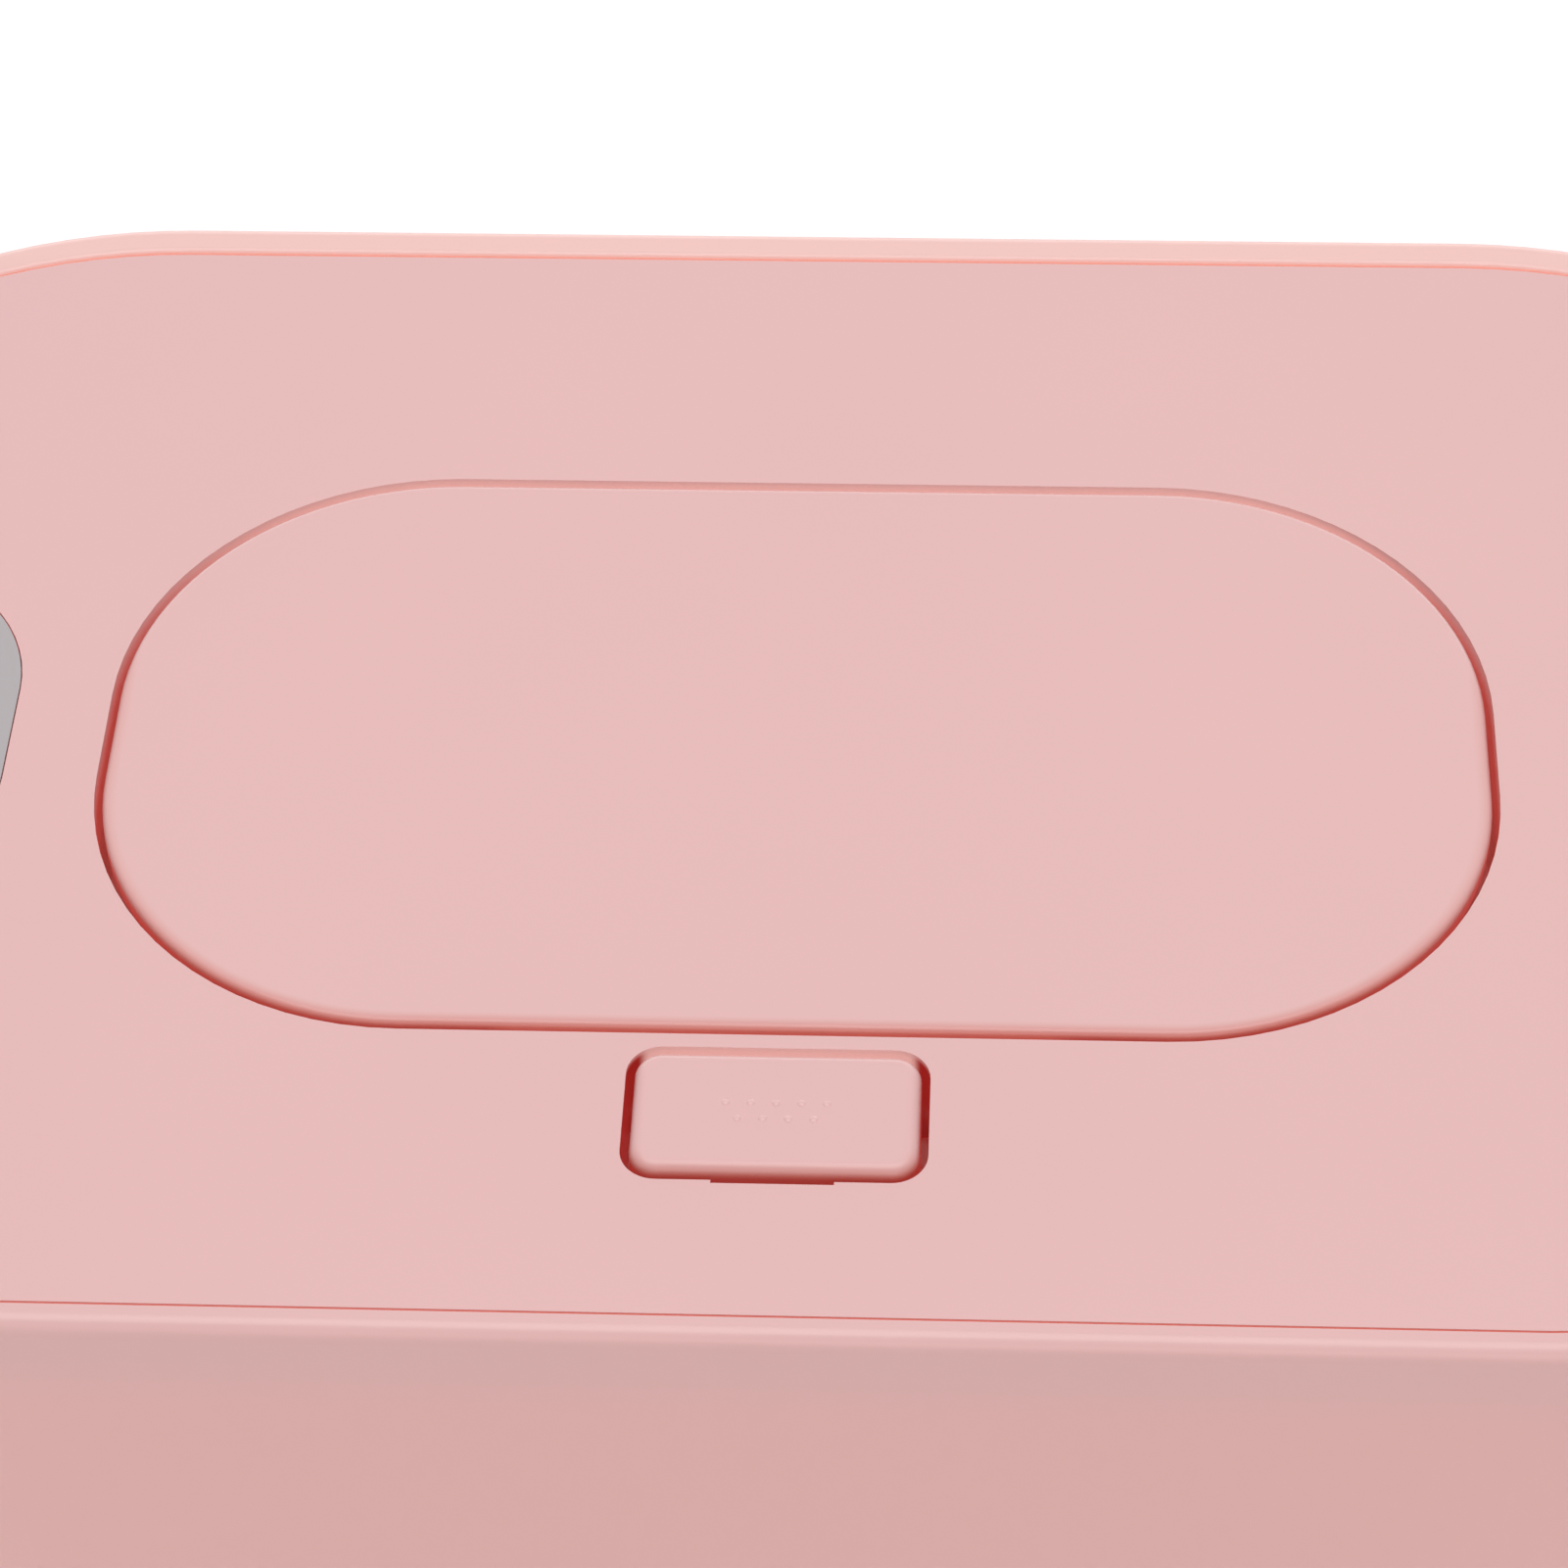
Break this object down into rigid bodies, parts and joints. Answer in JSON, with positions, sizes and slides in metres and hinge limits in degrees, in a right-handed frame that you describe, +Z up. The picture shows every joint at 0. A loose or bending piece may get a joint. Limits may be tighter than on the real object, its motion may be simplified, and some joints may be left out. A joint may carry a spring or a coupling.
{
  "type": "baby wipe warmer",
  "caption": "Heated box for baby wipes: rounded casing with inner tank, deep hinged lid, flush flip lid over a soft dispensing slit, sprung release button.",
  "frame": {"origin": "under the middle of the whole object, hinges included, on the surface that it stands on", "axes": "+Z up, +X to the right of someone facing the release button, +Y to the rear, where the hinges are"},
  "size_m": [0.212, 0.1362, 0.1055],
  "materials": {
    "pink_plastic": "semi-gloss moulded",
    "white_plastic": "satin moulded",
    "grey_rubber": "matte",
    "screw_steel": "zinc plated",
    "pin_steel": "ground",
    "spring_steel": "drawn wire",
    "heat_aluminium": "rolled sheet",
    "heater_silicone": "matte",
    "heater_foil": "etched foil",
    "felt": "needled felt",
    "board_laminate": "solder resist",
    "black_plastic": "moulded",
    "led_epoxy": "clear tinted",
    "lens_plastic": "translucent",
    "contact_brass": "nickel plated",
    "wire_insulation": "insulation",
    "soft_silicone": "translucent silicone",
    "smoked_window": "satin smoked"
  },
  "bodies": {
    "casing": {"body_shell": "pink_plastic", "base_plate": "pink_plastic", "rubber_feet": "grey_rubber", "base_screws": "screw_steel", "inner_tank": "white_plastic", "heat_plate": "heat_aluminium", "heater_mat": "heater_silicone", "heater_trace": "heater_foil", "insulation_pad": "felt", "control_board": "board_laminate", "board_parts": "black_plastic", "board_screws": "screw_steel", "indicator_led": "led_epoxy", "indicator_lens": "lens_plastic", "dc_jack": "black_plastic", "dc_jack_nut": "screw_steel", "dc_jack_contacts": "contact_brass", "thermostat": "black_plastic", "thermal_fuse": "screw_steel", "lead_wires": "wire_insulation", "hinge_pins": "pin_steel"},
    "main_lid": {"lid_shell": "pink_plastic", "top_panel": "pink_plastic", "lid_liner": "white_plastic", "lid_gasket": "soft_silicone", "liner_screws": "screw_steel", "level_window": "smoked_window", "dispensing_orifice": "soft_silicone", "pop_hinge_pin": "pin_steel", "pop_spring": "spring_steel", "latch_bracket": "white_plastic", "bracket_screws": "screw_steel", "button_spring": "spring_steel"},
    "flip_lid": {"pop_lid": "pink_plastic", "pop_lid_seal": "soft_silicone"},
    "button": {"release_button": "pink_plastic"},
    "catch_bar": {"latch_slide": "white_plastic"}
  },
  "joints": [
    {"name": "main_lid_hinge", "type": "hinge", "parent": "casing", "child": "main_lid", "pos_m": [0, 0.0657, 0.071], "axis": [-1, 0, 0], "range_deg": [0, 100]},
    {"name": "flip_lid_hinge", "type": "hinge", "parent": "main_lid", "child": "flip_lid", "pos_m": [0, 0.0374, 0.102], "axis": [-1, 0, 0], "range_deg": [0, 90]},
    {"name": "button_press", "type": "slide", "parent": "main_lid", "child": "button", "axis": [0, 0, -1], "range_m": [0, 0.0018], "stiffness_N_per_m": 400, "springref_m": -0.002, "deforming": ["button_spring"]},
    {"name": "catch_slide", "type": "slide", "parent": "main_lid", "child": "catch_bar", "axis": [0, -1, 0], "range_m": [0, 0.00121]}
  ],
  "couplings": [
    {"joint": "catch_slide", "follows": "button_press", "ratio": 0.66667}
  ]
}
